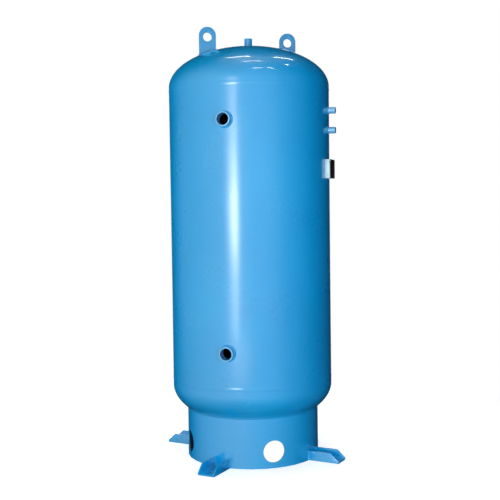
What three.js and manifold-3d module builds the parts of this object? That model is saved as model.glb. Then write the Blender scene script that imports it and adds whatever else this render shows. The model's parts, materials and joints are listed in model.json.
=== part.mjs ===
// A vertical air receiver of about one cubic metre, as a welded assembly.
// Millimetres, +Z up. The tank's axis is the Z axis and the floor is z = 0.
// Azimuths are degrees counter-clockwise from +X, seen from above.
// Neighbouring solids stand GAP apart, where the real ones touch and are welded.

import * as THREE from "three";
import Module from "manifold-3d";
import { mergeVertices } from "three/addons/utils/BufferGeometryUtils.js";

const wasm = await Module();
wasm.setup();

const GAP = 0.3;
const CUTTER_GROWTH = 0.5; // more than GAP, because the facets of a round cutter lie inside its true radius
const TURN_STEPS = 72;
const CUTTER_STEPS = 144;
const SOCKET_STEPS = 32;
const HEAD_STEPS = 8;
const LUG_CURVE_STEPS = 24;
const RIVET_STEPS = 16;
const CUT_MARGIN = 60; // how far a cutter runs past the wall it opens

// Pressure vessel
const SHELL_RADIUS = 425;
const WALL = 6;
const HEAD_DEPTH = 217;
const BOTTOM_TANGENT = 381;
const TOP_TANGENT = 1943.5;
const BOTTOM_SEAM = 417.5;
const TOP_SEAM = 1926.5;

// Skirt, with four round access holes between the feet
const SKIRT_RADIUS = 350;
const ACCESS_HOLE_RADIUS = 56;
const ACCESS_HOLE_HEIGHT = 85;
const ACCESS_HOLE_AZIMUTHS = [17.5, 107.5, 197.5, 287.5];

// Feet: channels with the open side up, cut down to a toe
const FOOT_AZIMUTHS = { foot_front: 242.5, foot_right: 332.5, foot_back: 62.5, foot_left: 152.5 };
const FOOT_WIDTH = 92;
const FOOT_HEIGHT = 50;
const FOOT_PLATE = 6;
const FOOT_ROOT = 330;
const FOOT_REACH = 514;
const FOOT_SLOPE_START = 471;
const FOOT_TOE_HEIGHT = 11;
const ANCHOR_HOLE_RADIUS = 9;
const ANCHOR_HOLE_REACH = 454;

// Lifting lugs: two parallel upright plates on the top head
const LUG_AZIMUTHS = { lifting_lug_left: 207.5, lifting_lug_right: 27.5 };
const LUG_FACE_TURN = 10;
const LUG_REACH = 238;
const LUG_WIDTH = 88;
const LUG_THICKNESS = 12;
const LUG_ROOT = 2050;
const LUG_TOP = 2250;
const LUG_EYE_RADIUS = 22.5;
const LUG_EYE_HEIGHT = 2198;

// Sockets with parallel pipe thread: outside and bore radius, leg of the fillet weld, and the reach of both ends
const TWO_INCH = { outer: 36, bore: 28.6, fillet: 6 };
const ONE_INCH = { outer: 20.5, bore: 16, fillet: 5 };
const THREE_QUARTER_INCH = { outer: 17, bore: 12.8, fillet: 4 };
const RADIAL_SOCKETS = [
  { name: "upper_front_port", size: TWO_INCH, azimuth: 253.5, height: 1748, inner: 411, reach: 459 },
  { name: "lower_front_port", size: TWO_INCH, azimuth: 253.5, height: 600, inner: 411, reach: 459 },
  { name: "upper_side_coupling", size: THREE_QUARTER_INCH, azimuth: 343.5, height: 1812, inner: 413, reach: 465 },
  { name: "lower_side_coupling", size: THREE_QUARTER_INCH, azimuth: 343.5, height: 1710, inner: 413, reach: 465 },
];
const TOP_PORT = { size: ONE_INCH, low: 2146, high: 2205 };
const DRAIN = { size: THREE_QUARTER_INCH, low: 126, high: 176 };
const SOCKET_CHAMFER = 1.5;
const FILLET_SINK = 4;

// Welds
const SEAM_WIDTH = 12;
const SEAM_RISE = 1.8;
const LONG_SEAM_AZIMUTH = 75;
const SKIRT_FILLET = 8;

// Nameplate on a bent sheet bracket
const PLATE_AZIMUTH = 343;
const PLATE_HEIGHT = 1510;
const BRACKET = { width: 118, height: 98, standoff: 22, sheet: 2 };
const PLATE = { width: 113, height: 96, thickness: 1.2 };
const RIVET = { radius: 2.6, rise: 1.6, inset: 7 };
const RIVET_PROFILE = [[0, 0], [1, 0], [0.9, 0.5], [0.5, 0.9], [0, 1]]; // shares of the radius and the rise

const bluePaint = new THREE.MeshStandardMaterial({ color: 0x3f97d6, roughness: 0.25, metalness: 0.1 });
const bareSheet = new THREE.MeshStandardMaterial({ color: 0xc9d2da, roughness: 0.35, metalness: 0.9 });
const blackPlate = new THREE.MeshStandardMaterial({ color: 0x191919, roughness: 0.4, metalness: 0.3 });
const rivetMetal = new THREE.MeshStandardMaterial({ color: 0xb8bcc0, roughness: 0.35, metalness: 0.9 });

const tank = new THREE.Group();

function radians(degrees) {
  return THREE.MathUtils.degToRad(degrees);
}

// Turns a closed (radius, height) outline about the Z axis. The outline runs counter-clockwise.
function turned(outline, steps = TURN_STEPS) {
  const points = outline.map(([radius, height]) => new THREE.Vector2(radius, height));
  const geometry = new THREE.LatheGeometry(points, steps);
  geometry.rotateX(Math.PI / 2);
  return geometry;
}

function closed(outline) {
  return [...outline, outline[0]];
}

function toSolid(geometry) {
  const bare = geometry.clone();
  bare.deleteAttribute("normal");
  bare.deleteAttribute("uv");
  const merged = mergeVertices(bare, 1e-4);
  const triangles = [];
  for (let i = 0; i < merged.index.count; i += 3) {
    const [a, b, c] = [0, 1, 2].map((k) => merged.index.getX(i + k));
    if (a !== b && b !== c && c !== a) {
      triangles.push(a, b, c);
    }
  }
  return new wasm.Manifold(new wasm.Mesh({
    numProp: 3,
    vertProperties: new Float32Array(merged.attributes.position.array),
    triVerts: new Uint32Array(triangles),
  }));
}

function toGeometry(solid) {
  const mesh = solid.getMesh();
  const geometry = new THREE.BufferGeometry();
  geometry.setAttribute("position", new THREE.BufferAttribute(mesh.vertProperties, 3));
  geometry.setIndex(new THREE.BufferAttribute(mesh.triVerts, 1));
  return geometry;
}

function cut(geometry, ...cutters) {
  let solid = toSolid(geometry);
  for (const cutter of cutters) {
    solid = solid.subtract(toSolid(cutter));
  }
  return toGeometry(solid);
}

function add(name, geometry, material, parent = tank) {
  const mesh = new THREE.Mesh(geometry, material);
  mesh.name = name;
  parent.add(mesh);
  return mesh;
}

// A round bar along Z, used only as a cutter.
function bar(radius, low, high, steps = CUTTER_STEPS) {
  return turned([[0, low], [radius, low], [radius, high], [0, high]], steps);
}

// A group whose +X points outwards at an azimuth, with +Z still up.
function facing(azimuth) {
  const group = new THREE.Group();
  group.rotation.z = radians(azimuth);
  tank.add(group);
  return group;
}

// Lays a shape that stands on Z so that it points along the azimuth, at a height.
function laidOut(geometry, azimuth, height) {
  geometry.rotateY(Math.PI / 2);
  geometry.rotateZ(radians(azimuth));
  geometry.translate(0, 0, height);
  return geometry;
}

// Points on a head's elliptical arc, from the tangent line to the hole at the pole. Side is 1 for the top head.
function headArc(radius, depth, tangent, side, holeRadius) {
  const last = Math.acos(holeRadius / radius);
  const points = [];
  for (let i = 0; i <= HEAD_STEPS; i += 1) {
    const angle = (last * i) / HEAD_STEPS;
    points.push([radius * Math.cos(angle), tangent + side * depth * Math.sin(angle)]);
  }
  return points;
}

function head(tangent, seam, side, holeRadius) {
  const outer = headArc(SHELL_RADIUS, HEAD_DEPTH, tangent, side, holeRadius);
  const inner = headArc(SHELL_RADIUS - WALL, HEAD_DEPTH - WALL, tangent, side, holeRadius);
  const lip = seam + (side * GAP) / 2;
  const outline = [[SHELL_RADIUS, lip], ...outer, ...inner.reverse(), [SHELL_RADIUS - WALL, lip]];
  return turned(closed(side > 0 ? outline : outline.reverse()));
}

// Height of a head's outer face at a radius.
function headFace(radius, tangent, side) {
  return tangent + side * HEAD_DEPTH * Math.sqrt(1 - (radius / SHELL_RADIUS) ** 2);
}

function buildVessel() {
  const low = BOTTOM_SEAM + GAP / 2;
  const high = TOP_SEAM - GAP / 2;
  const inner = SHELL_RADIUS - WALL;
  const wall = turned(closed([[inner, low], [SHELL_RADIUS, low], [SHELL_RADIUS, high], [inner, high]]));
  const openings = RADIAL_SOCKETS.map(({ size, azimuth, height }) => {
    const opening = bar(size.outer + GAP, SHELL_RADIUS - CUT_MARGIN, SHELL_RADIUS + CUT_MARGIN, SOCKET_STEPS);
    return laidOut(opening, azimuth, height);
  });
  add("shell", cut(wall, ...openings), bluePaint);
  add("top_head", head(TOP_TANGENT, TOP_SEAM, 1, TOP_PORT.size.outer + GAP), bluePaint);
  add("bottom_head", head(BOTTOM_TANGENT, BOTTOM_SEAM, -1, DRAIN.size.outer + GAP), bluePaint);
}

function buildSkirt() {
  const inner = SKIRT_RADIUS - WALL;
  const innerTop = headFace(inner, BOTTOM_TANGENT, -1) - GAP;
  const outerTop = headFace(SKIRT_RADIUS, BOTTOM_TANGENT, -1) - GAP;
  const wall = turned(closed([[inner, 0], [SKIRT_RADIUS, 0], [SKIRT_RADIUS, outerTop], [inner, innerTop]]));
  const holes = ACCESS_HOLE_AZIMUTHS.map((azimuth) => {
    const hole = bar(ACCESS_HOLE_RADIUS, SKIRT_RADIUS - CUT_MARGIN, SKIRT_RADIUS + CUT_MARGIN, SOCKET_STEPS);
    return laidOut(hole, azimuth, ACCESS_HOLE_HEIGHT);
  });
  add("skirt", cut(wall, ...holes), bluePaint);
}

function buildFeet() {
  const side = new THREE.Shape();
  side.moveTo(FOOT_ROOT, 0);
  side.lineTo(FOOT_REACH, 0);
  side.lineTo(FOOT_REACH, FOOT_TOE_HEIGHT);
  side.lineTo(FOOT_SLOPE_START, FOOT_HEIGHT);
  side.lineTo(FOOT_ROOT, FOOT_HEIGHT);
  const block = new THREE.ExtrudeGeometry(side, { depth: FOOT_WIDTH, bevelEnabled: false });
  block.rotateX(Math.PI / 2);
  block.translate(0, FOOT_WIDTH / 2, 0);
  const trough = new THREE.BoxGeometry(2 * FOOT_REACH, FOOT_WIDTH - 2 * FOOT_PLATE, 2 * FOOT_HEIGHT);
  trough.translate(FOOT_REACH, 0, FOOT_PLATE + FOOT_HEIGHT);
  const anchorHole = bar(ANCHOR_HOLE_RADIUS, -FOOT_PLATE, 2 * FOOT_PLATE, SOCKET_STEPS);
  anchorHole.translate(ANCHOR_HOLE_REACH, 0, 0);
  const skirtFace = bar(SKIRT_RADIUS + CUTTER_GROWTH, -FOOT_HEIGHT, 2 * FOOT_HEIGHT);
  const foot = cut(block, trough, anchorHole, skirtFace);
  for (const [name, azimuth] of Object.entries(FOOT_AZIMUTHS)) {
    add(name, foot, bluePaint, facing(azimuth));
  }
}

// The top head's outer face, grown a little, as a solid dome down to the tangent line.
function domeCutter() {
  const radius = SHELL_RADIUS + CUTTER_GROWTH;
  const depth = HEAD_DEPTH + CUTTER_GROWTH;
  const steps = 4 * HEAD_STEPS;
  const outline = [[0, TOP_TANGENT]];
  for (let i = 0; i <= steps; i += 1) {
    const angle = (Math.PI / 2 / steps) * i;
    outline.push([i === steps ? 0 : radius * Math.cos(angle), TOP_TANGENT + depth * Math.sin(angle)]);
  }
  return turned(outline, CUTTER_STEPS);
}

function buildLugs() {
  const half = LUG_WIDTH / 2;
  const outline = new THREE.Shape();
  outline.moveTo(-half, LUG_ROOT);
  outline.lineTo(half, LUG_ROOT);
  outline.lineTo(half, LUG_TOP - half);
  outline.absarc(0, LUG_TOP - half, half, 0, Math.PI, false);
  const eye = new THREE.Path();
  eye.absarc(0, LUG_EYE_HEIGHT, LUG_EYE_RADIUS, 0, 2 * Math.PI, true);
  outline.holes.push(eye);
  for (const [name, azimuth] of Object.entries(LUG_AZIMUTHS)) {
    const plate = new THREE.ExtrudeGeometry(outline, {
      depth: LUG_THICKNESS,
      bevelEnabled: false,
      curveSegments: LUG_CURVE_STEPS,
    });
    plate.rotateX(Math.PI / 2);
    plate.translate(0, LUG_THICKNESS / 2, 0);
    plate.rotateZ(radians(LUG_FACE_TURN));
    plate.translate(LUG_REACH * Math.cos(radians(azimuth)), LUG_REACH * Math.sin(radians(azimuth)), 0);
    add(name, cut(plate, domeCutter()), bluePaint);
  }
}

function socket(size, low, high) {
  return turned(closed([
    [size.bore, low],
    [size.outer, low],
    [size.outer, high - SOCKET_CHAMFER],
    [size.outer - SOCKET_CHAMFER, high],
    [size.bore + SOCKET_CHAMFER, high],
    [size.bore, high - SOCKET_CHAMFER],
  ]), SOCKET_STEPS);
}

// A fillet ring about Z: its foot spreads from the socket's wall at height low.
function filletRing(size, low) {
  const inner = size.outer + GAP;
  return turned(closed([[inner, low], [inner + size.fillet, low], [inner, low + size.fillet]]), SOCKET_STEPS);
}

function buildSockets() {
  const shellFace = bar(SHELL_RADIUS + CUTTER_GROWTH, 0, LUG_TOP);
  for (const { name, size, azimuth, height, inner, reach } of RADIAL_SOCKETS) {
    add(name, laidOut(socket(size, inner, reach), azimuth, height), bluePaint);
    const ring = turned(closed([
      [size.outer + GAP, SHELL_RADIUS - FILLET_SINK],
      [size.outer + GAP + size.fillet, SHELL_RADIUS - FILLET_SINK],
      [size.outer + GAP + size.fillet, SHELL_RADIUS],
      [size.outer + GAP, SHELL_RADIUS + size.fillet],
    ]), SOCKET_STEPS);
    add(`${name}_weld`, cut(laidOut(ring, azimuth, height), shellFace), bluePaint);
  }
  const crown = TOP_TANGENT + HEAD_DEPTH;
  add("top_port", socket(TOP_PORT.size, TOP_PORT.low, TOP_PORT.high), bluePaint);
  add("top_port_weld", filletRing(TOP_PORT.size, crown + GAP), bluePaint);

  const drainLength = DRAIN.high - DRAIN.low;
  const drain = add("drain_coupling", socket(DRAIN.size, 0, drainLength), bluePaint);
  drain.rotation.x = Math.PI;
  drain.position.z = DRAIN.high;
  const drainWeld = add("drain_coupling_weld", filletRing(DRAIN.size, 0), bluePaint);
  drainWeld.rotation.x = Math.PI;
  drainWeld.position.z = BOTTOM_TANGENT - HEAD_DEPTH - GAP;
}

// The low crown of a butt weld, across a seam: offsets from its centre line and rises above the plate.
function seamCrown() {
  return [[-SEAM_WIDTH / 2, GAP], [SEAM_WIDTH / 2, GAP], [SEAM_WIDTH / 4, SEAM_RISE], [-SEAM_WIDTH / 4, SEAM_RISE]];
}

function buildSeams() {
  for (const [name, height] of [["girth_weld_top", TOP_SEAM], ["girth_weld_bottom", BOTTOM_SEAM]]) {
    const outline = seamCrown().map(([across, rise]) => [SHELL_RADIUS + rise, height + across]);
    add(name, turned(closed(outline.reverse())), bluePaint);
  }

  const crown = new THREE.Shape(seamCrown().map(([across, rise]) => new THREE.Vector2(rise, -across)));
  const margin = SEAM_WIDTH / 2 + GAP;
  const length = TOP_SEAM - BOTTOM_SEAM - 2 * margin;
  const bead = new THREE.ExtrudeGeometry(crown, { depth: length, bevelEnabled: false });
  const longSeam = add("long_seam_weld", bead, bluePaint, facing(LONG_SEAM_AZIMUTH));
  longSeam.position.set(SHELL_RADIUS, 0, BOTTOM_SEAM + margin);

  const root = SKIRT_RADIUS + GAP;
  const edge = SKIRT_RADIUS + SKIRT_FILLET;
  add("skirt_weld", turned(closed([
    [root, headFace(root, BOTTOM_TANGENT, -1) - GAP - SKIRT_FILLET],
    [edge, headFace(edge, BOTTOM_TANGENT, -1) - 2 * GAP],
    [root, headFace(root, BOTTOM_TANGENT, -1) - 2 * GAP],
  ])), bluePaint);
}

function buildNameplate() {
  const { width, height, standoff, sheet } = BRACKET;
  const front = SHELL_RADIUS + standoff;
  const side = facing(PLATE_AZIMUTH);
  const block = new THREE.BoxGeometry(2 * standoff, width, height);
  block.translate(front - standoff, 0, 0);
  const hollow = new THREE.BoxGeometry(4 * standoff, width - 2 * sheet, 2 * height);
  hollow.translate(front - sheet - 2 * standoff, 0, 0);
  const shellFace = bar(SHELL_RADIUS + CUTTER_GROWTH, -height, height);
  add("nameplate_bracket", cut(block, hollow, shellFace), bareSheet, side).position.z = PLATE_HEIGHT;

  const plateBack = front + GAP;
  const plate = new THREE.BoxGeometry(PLATE.thickness, PLATE.width, PLATE.height);
  add("nameplate", plate, blackPlate, side).position.set(plateBack + PLATE.thickness / 2, 0, PLATE_HEIGHT);

  const rivetFoot = plateBack + PLATE.thickness + GAP;
  const offsets = [[-1, 1], [1, 1], [1, -1], [-1, -1]];
  offsets.forEach(([across, up], i) => {
    const dome = turned(RIVET_PROFILE.map(([out, rise]) => [RIVET.radius * out, RIVET.rise * rise]), RIVET_STEPS);
    dome.rotateY(Math.PI / 2);
    const rivet = add(`nameplate_rivet_${i + 1}`, toGeometry(toSolid(dome)), rivetMetal, side);
    const y = across * (PLATE.width / 2 - RIVET.inset);
    const z = PLATE_HEIGHT + up * (PLATE.height / 2 - RIVET.inset);
    rivet.position.set(rivetFoot, y, z);
  });
}

buildVessel();
buildSkirt();
buildFeet();
buildLugs();
buildSockets();
buildSeams();
buildNameplate();

export default tank;
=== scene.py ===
"""The looks of a vertical air receiver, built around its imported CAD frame. Metres, +Z up."""

import json
import math
import random

import bmesh
import bpy
import numpy as np
from mathutils import Matrix, Vector


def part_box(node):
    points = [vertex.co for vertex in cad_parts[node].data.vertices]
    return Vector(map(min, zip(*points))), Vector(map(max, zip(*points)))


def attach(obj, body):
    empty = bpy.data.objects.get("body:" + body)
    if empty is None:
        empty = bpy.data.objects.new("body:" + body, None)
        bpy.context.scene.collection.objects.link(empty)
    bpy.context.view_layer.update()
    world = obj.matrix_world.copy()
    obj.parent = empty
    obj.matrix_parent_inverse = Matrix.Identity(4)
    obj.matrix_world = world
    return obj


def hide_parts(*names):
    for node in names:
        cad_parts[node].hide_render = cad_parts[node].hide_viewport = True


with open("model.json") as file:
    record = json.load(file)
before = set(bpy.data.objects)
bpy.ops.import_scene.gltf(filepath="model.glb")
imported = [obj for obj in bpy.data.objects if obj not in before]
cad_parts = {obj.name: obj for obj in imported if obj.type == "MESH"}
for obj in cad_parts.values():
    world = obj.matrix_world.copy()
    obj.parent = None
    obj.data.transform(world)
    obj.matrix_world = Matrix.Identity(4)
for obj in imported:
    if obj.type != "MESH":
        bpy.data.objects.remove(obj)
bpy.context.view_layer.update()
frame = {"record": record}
mounts = {mount["name"]: mount for mount in frame["record"]["mounts"]}

MM = 0.001
UP = Vector((0, 0, 1))

# Plate thickness and head shape, which the frame's boxes don't give
WALL = 6 * MM
HEAD_DEPTH = 217 * MM

# How finely round shapes are drawn
TURN_STEPS = 256
HEAD_STEPS = 48
CORNER_STEPS = 8
SHELL_ROW = 30 * MM
SKIRT_ROW = 12 * MM

# Sockets by nominal size: bore at the thread's crest and root, the thread's pitch, and the fillet weld's leg
SOCKETS = {
    "two_inch": {"crest": 28.4 * MM, "root": 29.8 * MM, "pitch": 2.309 * MM, "fillet": 6.5 * MM},
    "one_inch": {"crest": 15.2 * MM, "root": 16.6 * MM, "pitch": 2.309 * MM, "fillet": 5 * MM},
    "three_quarter_inch": {"crest": 12.1 * MM, "root": 13.2 * MM, "pitch": 1.814 * MM, "fillet": 4 * MM},
}

# How far a plate reaches into a socket that passes through it, so that no gap is left
HOLE_OVERLAP = 0.5 * MM

# Radii between which a cutter runs through the shell or skirt, and how far other cutters run past their work
CUTTER_FROM, CUTTER_TO = 200 * MM, 500 * MM
CUT_MARGIN = 100 * MM

# How far edges are rounded
SKIRT_EDGE = 0.7 * MM
FOOT_EDGE = 0.8 * MM
LUG_EDGE = 1.0 * MM
BRACKET_EDGE = 0.4 * MM
PLATE_EDGE = 0.3 * MM
SAME_POINT = 0.002 * MM  # points nearer than this are merged

# Weld beads
BEAD_ROWS = 9
BEAD_SAMPLES = 5  # points along each ripple
RIPPLE_PITCH = 3.6 * MM
RIPPLE_BOW = 2.2  # radians by which a ripple lags at the toes
SWELL_WAVES = (3, 7, 17, 41)  # waves in a bead's uneven height, to a metre or to a shorter bead
SOCKET_WELD_RISE = 0.25  # crown heights as shares of the leg
FOOT_WELD_RISE = 0.25
LUG_WELD_RISE = 0.22
SEAM_HALF_WIDTH = 12 * MM
SEAM_RISE = 0.85 * MM
SEAM_SINK = 0.15 * MM  # how deep the toes of a seam lie below the shell
SEAM_CROWN = 0.25  # the share of a seam's half width that is rounded, between its two even flanks
SEAM_RIPPLE = 0.05
SKIRT_WELD_LEG = 5 * MM
SKIRT_WELD_RISE = 1.3 * MM
SKIRT_WELD_TILT = -0.35  # how far the bead faces down, against 1 outwards

rng = random.Random(7)


# ---------------------------------------------------------------- frame measurements


def size_of(node):
    low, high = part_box(node)
    return high - low


def middle_of(node):
    low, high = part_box(node)
    return (low + high) / 2


def azimuth_of(vector):
    return math.atan2(vector[1], vector[0])


shell_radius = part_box("shell")[1].x
skirt_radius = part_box("skirt")[1].x
top_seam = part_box("shell")[1].z
bottom_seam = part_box("shell")[0].z


def pole_height(socket):
    """Depth of a head's arc at the edge of the hole for a socket on its axis."""
    hole = size_of(socket).x / 2
    return HEAD_DEPTH * math.sqrt(1 - (hole / shell_radius) ** 2)


top_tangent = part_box("top_head")[1].z - pole_height("top_port")
bottom_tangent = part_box("bottom_head")[0].z + pole_height("drain_coupling")


def head_height(radius, side):
    """Height of a head's outer face at a radius. Side is 1 for the top head, -1 for the bottom one."""
    tangent = top_tangent if side > 0 else bottom_tangent
    share = min(1.0, radius / shell_radius)
    return tangent + side * HEAD_DEPTH * math.sqrt(1 - share**2)


def head_normal(x, y, side):
    """Outward normal of a head's face above or below a point."""
    tangent = top_tangent if side > 0 else bottom_tangent
    z = head_height(math.hypot(x, y), side) - tangent
    return Vector((x / shell_radius**2, y / shell_radius**2, z / HEAD_DEPTH**2)).normalized()


# ---------------------------------------------------------------- mesh helpers


def make_piece(name, verts, faces, materials, sharp=35):
    """A closed mesh object, shaded smooth apart from its sharp edges."""
    mesh = bpy.data.meshes.new(name)
    mesh.from_pydata([tuple(v) for v in verts], [], faces)
    work = bmesh.new()
    work.from_mesh(mesh)
    bmesh.ops.recalc_face_normals(work, faces=work.faces)
    work.to_mesh(mesh)
    work.free()
    obj = bpy.data.objects.new(name, mesh)
    bpy.context.scene.collection.objects.link(obj)
    for material in materials if isinstance(materials, list) else [materials]:
        mesh.materials.append(material)
    shade(obj, sharp)
    return obj


def shade(obj, sharp=35):
    mesh = obj.data
    mesh.polygons.foreach_set("use_smooth", [True] * len(mesh.polygons))
    mesh.set_sharp_from_angle(angle=math.radians(sharp))
    mesh.update()


def skin(sections, loop):
    """Vertices and faces of a tube through closed cross-sections, an array of (section, point, xyz)."""
    sections = np.asarray(sections, float)
    count, points = sections.shape[:2]
    faces = []
    for i in range(count if loop else count - 1):
        here, there = i * points, (i + 1) % count * points
        for j in range(points):
            k = (j + 1) % points
            faces.append((here + j, here + k, there + k, there + j))
    if not loop:
        faces.append(tuple(range(points))[::-1])
        faces.append(tuple(range((count - 1) * points, count * points)))
    return sections.reshape(-1, 3), faces


def turned(outline, steps=TURN_STEPS):
    """Vertices and faces of a closed outline of (radius, height) turned about Z."""
    outline = np.array(outline, float)
    turn = 2 * np.pi * np.arange(steps) / steps
    sections = np.empty((steps, len(outline), 3))
    sections[:, :, 0] = np.outer(np.cos(turn), outline[:, 0])
    sections[:, :, 1] = np.outer(np.sin(turn), outline[:, 0])
    sections[:, :, 2] = outline[:, 1]
    return skin(sections, loop=True)


def extruded(outline, axis_start, axis_end, place):
    """A closed 2-D outline run from one depth to another; place turns (a, b, depth) into xyz."""
    sections = [[place(a, b, depth) for a, b in outline] for depth in (axis_start, axis_end)]
    return skin(sections, loop=False)


def bake(obj):
    """Applies an object's modifiers to its mesh."""
    graph = bpy.context.evaluated_depsgraph_get()
    mesh = bpy.data.meshes.new_from_object(obj.evaluated_get(graph), depsgraph=graph)
    obj.modifiers.clear()
    obj.data = mesh


def cut(obj, *cutters):
    """Takes the cutters out of an object, and deletes them."""
    for cutter in cutters:
        modifier = obj.modifiers.new("cut", "BOOLEAN")
        modifier.operation = "DIFFERENCE"
        modifier.solver = "EXACT"
        modifier.object = cutter
    bpy.context.view_layer.update()
    bake(obj)
    for cutter in cutters:
        bpy.data.objects.remove(cutter)


def round_edges(obj, width, segments=2, angle=50):
    """Bevels an object's edges, and merges the points that the bevel leaves on one another."""
    modifier = obj.modifiers.new("bevel", "BEVEL")
    modifier.width = width
    modifier.segments = segments
    modifier.limit_method = "ANGLE"
    modifier.angle_limit = math.radians(angle)
    modifier.use_clamp_overlap = True
    obj.modifiers.new("merge", "WELD").merge_threshold = SAME_POINT
    bake(obj)
    shade(obj, 50)


def rod(radius, start, end, steps=64):
    """A plain round cutter between two points."""
    start, end = Vector(start), Vector(end)
    turn = (end - start).to_track_quat("Z", "Y").to_matrix().to_4x4()
    place = Matrix.Translation(start) @ turn
    length = (end - start).length
    angles = [2 * math.pi * i / steps for i in range(steps)]
    ring = [(radius * math.cos(a), radius * math.sin(a)) for a in angles]
    verts, faces = extruded(ring, 0, length, lambda a, b, depth: place @ Vector((a, b, depth)))
    return make_piece("cutter", verts, faces, [])


def out_at(azimuth):
    return Vector((math.cos(azimuth), math.sin(azimuth), 0))


def across_at(azimuth):
    return Vector((-math.sin(azimuth), math.cos(azimuth), 0))


def stand_for(obj, slot, *nodes):
    """Fixes a piece to the tank, in place of the CAD nodes that it replaces."""
    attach(obj, "root")
    if nodes:
        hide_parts(*nodes)


def arc(centre, radius, start, end, steps):
    """Points on an arc in two dimensions, with angles in degrees."""
    angles = np.radians(np.linspace(start, end, steps + 1))
    return [(centre[0] + radius * math.cos(a), centre[1] + radius * math.sin(a)) for a in angles]


# ---------------------------------------------------------------- weld beads


def bead(name, toe_a, toe_b, outward, rise, material, loop=True, ripple_share=0.18, flank=0.0):
    """A rippled weld bead between two lines of toe points, with its root sunk below the surface.

    Its section is a half wave, or with flank two even slopes whose crown is rounded over that share.
    """
    toe_a, toe_b, outward = (np.asarray(x, float) for x in (toe_a, toe_b, outward))
    middle = (toe_a + toe_b) / 2
    steps = np.linalg.norm(np.diff(middle, axis=0, append=middle[:1]), axis=1)
    if not loop:
        steps[-1] = 0
    total = steps.sum()
    along = np.concatenate([[0], np.cumsum(steps)[:-1]])
    ripples = max(1, round(total / RIPPLE_PITCH))
    phase = along / total * ripples * 2 * np.pi
    swell = np.ones(len(along))
    for waves in SWELL_WAVES:
        turns = round(waves * max(1.0, total))
        swell += 0.4 * ripple_share * np.sin(along / total * turns * 2 * np.pi + rng.uniform(0, 2 * np.pi))
    share = np.linspace(0, 1, BEAD_ROWS)
    bow = RIPPLE_BOW * (2 * share - 1) ** 2
    ripple = 0.5 + 0.5 * np.cos(phase[:, None] + bow[None, :])
    crown = np.sin(np.pi * share)
    if flank:
        crown = 1 - (np.hypot(2 * share - 1, flank) - flank) / (math.hypot(1, flank) - flank)
    height = rise * crown[None, :] * (1 - ripple_share * (1 - ripple)) * swell[:, None]
    spread = 1 + 0.12 * (swell - 1)[:, None, None]
    line = toe_a[:, None] * (1 - share)[None, :, None] + toe_b[:, None] * share[None, :, None]
    line = middle[:, None] + (line - middle[:, None]) * spread
    points = line + outward[:, None] * height[:, :, None]
    root = (middle - outward * rise)[:, None]
    verts, faces = skin(np.concatenate([points, root], axis=1), loop)
    return make_piece(name, verts, faces, material, sharp=60)


def bead_points(length):
    """How many points a bead of this length needs."""
    return max(24, int(length / RIPPLE_PITCH * BEAD_SAMPLES))


def ring_bead(name, toe_a, toe_b, outward, rise, material, **shape):
    """A bead round the Z axis. Its toes are (radius, height), and outward is (radial, up)."""
    turn = np.linspace(0, 2 * np.pi, bead_points(2 * np.pi * toe_a[0]), endpoint=False)
    flat = np.stack([np.cos(turn), np.sin(turn), 0 * turn], axis=1)
    up = np.array([0, 0, 1.0])
    radial, vertical = Vector(outward).normalized()
    toes = [flat * radius + up * height for radius, height in (toe_a, toe_b)]
    return bead(name, *toes, flat * radial + up * vertical, rise, material, **shape)


# ---------------------------------------------------------------- node helpers


def new_material(name):
    material = bpy.data.materials.new(name)
    material.use_nodes = True
    tree = material.node_tree
    return material, tree, tree.nodes["Principled BSDF"]


def node(tree, kind, inputs=None, **settings):
    made = tree.nodes.new(kind)
    for key, value in settings.items():
        setattr(made, key, value)
    for key, value in (inputs or {}).items():
        if isinstance(value, bpy.types.NodeSocket):
            tree.links.new(value, made.inputs[key])
        else:
            made.inputs[key].default_value = value
    return made


def noise(tree, place, scale, detail=2.0, roughness=0.5):
    inputs = {"Vector": place, "Scale": scale, "Detail": detail, "Roughness": roughness}
    return node(tree, "ShaderNodeTexNoise", inputs).outputs["Fac"]


def ranged(tree, value, low, high, to_low=0.0, to_high=1.0):
    """Maps low..high smoothly onto to_low..to_high."""
    inputs = {"Value": value, "From Min": low, "From Max": high, "To Min": to_low, "To Max": to_high}
    return node(tree, "ShaderNodeMapRange", inputs, interpolation_type="SMOOTHSTEP").outputs["Result"]


def maths(tree, operation, a, b=0.0, c=0.0):
    made = node(tree, "ShaderNodeMath", {0: a, 1: b, 2: c}, operation=operation)
    return made.outputs["Value"]


def mixed(tree, share, a, b):
    """A blend of two colours, whose sockets are the mix node's numbers 6 and 7."""
    return node(tree, "ShaderNodeMix", {0: share, 6: a, 7: b}, data_type="RGBA").outputs[2]


def bumped(tree, height, distance, strength=1.0, below=None):
    made = node(tree, "ShaderNodeBump", {"Height": height, "Distance": distance, "Strength": strength})
    if below is not None:
        tree.links.new(below, made.inputs["Normal"])
    return made.outputs["Normal"]


def edge_mask(tree, radius, low, high):
    """1 along edges that stand out or in, 0 on flat stretches."""
    soft = node(tree, "ShaderNodeBevel", {"Radius": radius}, samples=4).outputs["Normal"]
    true = node(tree, "ShaderNodeNewGeometry").outputs["Normal"]
    dot = node(tree, "ShaderNodeVectorMath", {0: soft, 1: true}, operation="DOT_PRODUCT")
    return ranged(tree, dot.outputs["Value"], high, low)


# ---------------------------------------------------------------- materials

# Linear colours
PAINT = (0.0015, 0.305, 0.66)
PAINT_DEEP = (0.001, 0.28, 0.625)
PAINT_CHALKY = (0.03, 0.36, 0.69)
# Pale blue of a painted highlight
PAINT_SHEEN = (0.55, 0.78, 0.90)
PRIMER = (0.16, 0.15, 0.14)


def opaque(colour, tone=1.0):
    return (*(tone * channel for channel in colour), 1)


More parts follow.
